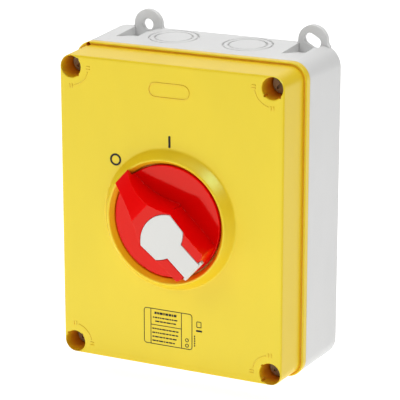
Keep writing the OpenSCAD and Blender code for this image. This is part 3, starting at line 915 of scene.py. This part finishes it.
def slide_pocket():
    """Room in the grip for the slide's plate, web, barbs and end catch."""
    plan = plate_plan(PLATE_GAP, 36)
    mouth = grown(plan, 0.2)
    pocket = skin([
        at(plan, GRIP_TOP - PLATE_T - PLATE_GAP),
        at(plan, GRIP_TOP - 0.2),
        at(mouth, GRIP_TOP + 0.02),
        at(mouth, GRIP_TOP + 5)
    ])

    def web_room(half, high):
        start, end = WEB_U
        side = half + PLATE_GAP
        return block((start - PLATE_GAP, -side, low), (end + PLATE_GAP, side, high))

    low = WEB_FOOT - PLATE_GAP
    catch_side = CATCH_HALF + CATCH_GAP
    catch_room = block(
        (STEM_END - 2, -catch_side, GRIP_TOP - CATCH_DEEP - CATCH_GAP),
        (40, catch_side, GRIP_TOP + 4)
    )
    return joined(
        pocket,
        web_room(WEB_HALF, 18),
        web_room(BARB_HALF, low + SLIDE_TRAVEL + 1.4),
        catch_room
    )


def handle_mesh():
    body = joined(disc_solid(), grip_solid(), hub_solid())
    socket = block((-SOCKET / 2, -SOCKET / 2, HUB_END - 1), (SOCKET / 2, SOCKET / 2, 1.5))
    return cut(body, slide_pocket(), socket)


def red_region(face):
    """0 on the disc's front and the grip's top, 1 on the grip's ramp, 2 on all else."""
    height = face.calc_center_median().z
    if face.normal.z > 0.997 and (height < DISC_TOP or abs(height - GRIP_TOP) < 0.02):
        return 0
    if face.normal.z > 0.7 and face.normal.x < -0.15:
        return 1
    return 2


def make_handle():
    # The ramp and side reds are painted lighter than the front red, as painted light.
    reds = [RED_FRONT, RED_RAMP_PAINTED_LIGHTER, RED_WALL_PAINTED_LIGHTER]
    shown("handle_grip", handle_mesh(), GRIP_FRAME, "handle", reds, ["handle"],
          red_region, 24)


def slide_mesh():
    plate = slab(plate_plan(0, STEM_END - 0.55), GRIP_TOP - PLATE_T, GRIP_TOP, 0.25, 3)
    foot = GRIP_TOP - CATCH_DEEP
    profile = [
        (STEM_END - 1.6, GRIP_TOP - 0.9), (STEM_END - 0.6, GRIP_TOP - 0.9), (STEM_END, GRIP_TOP - 1.7),
        (STEM_END, foot), (STEM_END - 1.6, foot)
    ]
    nail_catch = skin([[(u, w, h) for u, h in profile] for w in (-CATCH_HALF, CATCH_HALF)])
    web = block((WEB_U[0], -WEB_HALF, WEB_FOOT), (WEB_U[1], WEB_HALF, GRIP_TOP - 1))
    barbs = block((WEB_U[0], -BARB_HALF, WEB_FOOT), (WEB_U[1], BARB_HALF, WEB_FOOT + 1))
    wide = SHACKLE_R + 0.4
    hole = [(wide, -5.4), (SHACKLE_R, -4.1), (SHACKLE_R, 4.1), (wide, 5.4)]
    across = Matrix.Rotation(math.pi / 2, 4, "X")
    holes = gathered(
        placed(spun(hole, 32), Matrix.Translation((u, 0, SHACKLE_H)) @ across) for u in SHACKLE_U
    )
    return cut(joined(plate, nail_catch, web, barbs), holes)


def make_slide():
    shown("padlock_tab", slide_mesh(), GRIP_FRAME, "padlock_slide", [PALE],
          ["padlock_slide"], sharp=28)


# ---------------------------------------------------------------- screws and prints


def screw_mesh():
    """Quarter-turn screw: dished head with a cross slot, a shank, a neck and a pointed tip."""
    seat = WELL_FLOOR + 0.1
    top = seat + HEAD_T
    neck_end = LEDGE + LIP_T + 0.2
    neck = [(TIP_R, LEDGE - 0.6), (NECK_R, LEDGE - 0.3), (NECK_R, neck_end)]
    shank = [(SCREW_R, neck_end), (SCREW_R, seat), (HEAD_R - 0.2, seat), (HEAD_R, seat + 0.2)]
    rim = [(HEAD_R - 0.6 + x, top - 0.6 + y) for x, y in arc(0, 0, 0.6, 0, 90, 4)]
    dish = [(4.6, top), (4.2, top - 0.35)]
    body = spun([(TIP_R - 0.7, SCREW_END), (TIP_R, SCREW_END + 1.2)] + neck + shank + rim + dish)
    slots = [
        moved(slab(stadium(3.5, 0.8, 6), top - 1.8, top + 1), turn=turn) for turn in (45, 135)
    ]
    return cut(body, *slots)


def make_screws():
    for name, (side, up, _) in WELLS.items():
        node = "lid_screw_" + name
        mesh = moved(screw_mesh(), side * WELL_X, up * WELL_Y)
        shown("quarter_turn_" + name, mesh, WALL_FRAME, node, [SCREW_PLASTIC],
              [node])


def print_ring(outline, width):
    """Thin printed line along the inside of an outline."""
    return cut(slab(outline, 0.01, PRINT_T), slab(grown(outline, -width), -1, 1))


def make_marks():
    """Plain O and I at the handle's two positions."""
    x, y = turned([(0, MARK_R)], THROW)[0]
    off = moved(print_ring(circle(3.5, 48), 1.1), x, y)
    on = moved(slab(stadium(2.8, 0.65, 8), 0.01, PRINT_T), 0, MARK_R - 0.9, 0, 90)
    shown("mark_prints", gathered([off, on]), FACE_FRAME, "lid", [INK],
          ["position_marks"])


def oblong(x, y, width, height):
    """Outline of a rectangle from its lower left corner."""
    return [(x, y), (x + width, y), (x + width, y + height), (x, y + height)]


def dash(x, y, width, height):
    return slab(oblong(x, y, width, height), 0.01, PRINT_T)


def rule(x, y, width, height):
    """Line inside the panel; its faces stay clear of those of the panel's frame."""
    return slab(oblong(x, y, width, height), 0.02, PRINT_T - 0.01)


def dash_row(left, right, y, height, draw):
    """Row of plain dashes of varied lengths, standing in for a line of small print."""
    dashes = []
    x = left
    while x < right - 0.6:
        length = min(draw.uniform(0.7, 2.6), right - x)
        dashes.append(dash(x, y - height / 2, length, height))
        x += length + 0.45
    return dashes


def make_label():
    """Rating panel with rules and dashes, and a small plain mark beside it."""
    draw = random.Random(7)
    prints = [
        print_ring(rounded_rect(30.5, 21.4, 1.8, 5, 2, 2), LABEL_LINE),
        rule(-11, -10.3, LABEL_LINE, 20.6),
        rule(8.3, -10.3, LABEL_LINE, 20.6),
        rule(-10.6, 0.8, 18.9, LABEL_LINE)
    ]
    rows = [(-8.5, 5.5, 8.1, 1.3), (-9.5, 6.5, 5.4, 0.7), (-8, 5, 3.2, 0.7)]
    rows += [(-9.9, 7.3 - 0.8 * row, -1.3 - 2.4 * row, 0.7) for row in range(4)]
    for left, right, y, height in rows:
        prints += dash_row(left, right, y, height, draw)
    prints += [moved(print_ring(circle(1.1, 24), LABEL_LINE), 11.9, y) for y in (-8.4, -5.2)]
    prints.append(moved(print_ring(rounded_rect(3, 3.6, 0.5, 3, 1, 1), LABEL_LINE), 19.4, 5.2))
    prints.append(dash(17.7, 0.9, 3.6, 1))
    prints += [dash(16.4, -2.6 - 1.4 * row, 0.6, 0.9) for row in range(5)]
    place = FACE_FRAME @ Matrix.Translation((*LABEL_PLACE, 0))
    shown("rating_prints", gathered(prints), place, "lid", [INK], ["rating_label"])


# ---------------------------------------------------------------- carried-over CAD nodes

CAD_FINISHES = {
    DARK: ["switch_foot", "contact_deck_1", "contact_deck_2", "contact_deck_3", "index_housing"],
    IVORY: ["index_disc", "rotor_1", "rotor_2", "rotor_3"],
    BRASS: ["fixed_contacts_1", "fixed_contacts_2", "fixed_contacts_3",
            "moving_contact_1", "moving_contact_2", "moving_contact_3",
            "terminal_clamps", "earth_terminal"],
    ZINC: ["din_rail", "rail_screws", "terminal_screws", "tie_bolts", "earth_screws", "drive_shaft"],
    SPRING_STEEL: ["index_spring", "handle_clip"],
    RUBBER: ["lid_gasket", "handle_seal"],
    MID_GREY: ["din_latch"]
}


def dress_cad_nodes():
    """Gives each inner CAD part its material and lightly rounded edges."""
    for material, names in CAD_FINISHES.items():
        for name in names:
            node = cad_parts[name]
            node.data.materials.clear()
            node.data.materials.append(material)
            rounding = node.modifiers.new("rounded_edges", "BEVEL")
            rounding.width = 0.15 * MM
            rounding.segments = 2
            rounding.angle_limit = math.radians(40)


# ---------------------------------------------------------------- studio, in metres

FLOOR_R = 6.0
FILL_STRENGTH = 0.4
GLOSS_STRENGTH = 0.28
BACKDROP_STRENGTH = 1.0
CAMERA_PLACE = (0.4994, -1.0567, 0.3384)
CAMERA_AIM = (-0.4197, 0.8624, -0.2832)
BOX_MIDDLE = (0, -0.05, 0)


def make_floor():
    """Large pale floor at the lowest point of the box."""
    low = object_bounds()[0].z
    outline = circle(FLOOR_R, 96)
    mesh = bpy.data.meshes.new("floor")
    bm = skin([at(outline, low - 0.01), at(outline, low)])
    bm.to_mesh(mesh)
    bm.free()
    finish = Finish("pale_floor", Specular_IOR_Level=0.2, Roughness=0.7,
                    Emission_Color=(1, 1, 1, 1), Emission_Strength=0.85)
    soft = finish.noise(900, 2.0)
    finish.feed("Base Color", finish.mixed(soft, (0.54, 0.54, 0.54, 1), (0.56, 0.56, 0.56, 1)))
    mesh.materials.append(finish.material)
    floor = bpy.data.objects.new("studio_floor", mesh)
    bpy.context.scene.collection.objects.link(floor)


def softbox(name, place, target, size, watts, gloss_only=False):
    """Rectangular soft light; one for gloss only is seen in reflections but lights nothing."""
    light = bpy.data.lights.new(name, "AREA")
    light.shape = "RECTANGLE"
    light.size, light.size_y = size
    light.energy = watts
    lamp = bpy.data.objects.new(name, light)
    lamp.location = place
    lamp.rotation_euler = (Vector(target) - Vector(place)).to_track_quat("-Z", "Y").to_euler()
    lamp.visible_camera = False
    lamp.visible_diffuse = not gloss_only
    bpy.context.scene.collection.objects.link(lamp)


def make_world():
    """Soft light from all round: weaker in reflections, and plain white behind the object."""
    world = bpy.data.worlds.new("studio")
    world.use_nodes = True
    nodes = world.node_tree.nodes
    links = world.node_tree.links
    path = nodes.new("ShaderNodeLightPath")
    fill = nodes["Background"]
    fill.inputs["Color"].default_value = (1, 1, 1, 1)
    fill.inputs["Strength"].default_value = FILL_STRENGTH
    last = fill.outputs[0]
    for ray, strength in (("Is Glossy Ray", GLOSS_STRENGTH), ("Is Camera Ray", BACKDROP_STRENGTH)):
        other = nodes.new("ShaderNodeBackground")
        other.inputs["Strength"].default_value = strength
        other.inputs["Color"].default_value = (1, 1, 1, 1)
        mix = nodes.new("ShaderNodeMixShader")
        links.new(path.outputs[ray], mix.inputs[0])
        links.new(last, mix.inputs[1])
        links.new(other.outputs[0], mix.inputs[2])
        last = mix.outputs[0]
    links.new(last, nodes["World Output"].inputs["Surface"])
    bpy.context.scene.world = world


def make_camera():
    """Long lens, a little to the right of the box and above it."""
    camera = bpy.data.cameras.new("camera")
    camera.sensor_width = 36
    camera.lens = 187.4
    camera.clip_start = 0.05
    camera.clip_end = 50
    holder = bpy.data.objects.new("camera", camera)
    holder.location = CAMERA_PLACE
    holder.rotation_euler = Vector(CAMERA_AIM).to_track_quat("-Z", "Y").to_euler()
    bpy.context.scene.collection.objects.link(holder)
    bpy.context.scene.camera = holder


make_camera()
make_lid()
make_base()
make_handle()
make_slide()
make_screws()
make_marks()
make_label()
dress_cad_nodes()
make_floor()
make_world()
softbox("key_light", (-0.7, -1.3, 1.5), BOX_MIDDLE, (0.9, 0.9), 7.5)
softbox("top_light", (0.1, 0.3, 1.6), BOX_MIDDLE, (1.2, 0.8), 13.5)
softbox("floor_card", (-0.4, -0.7, -0.1), (-0.4, -0.7, 1), (1.1, 1.2), 9.5, gloss_only=True)
softbox("back_card", (-0.5, 1.5, 0.8), BOX_MIDDLE, (1.6, 1.3), 5.5, gloss_only=True)
softbox("side_card", (0.9, -0.15, 1.1), BOX_MIDDLE, (0.5, 0.5), 18, gloss_only=True)
bpy.context.scene.view_settings.view_transform = "Standard"
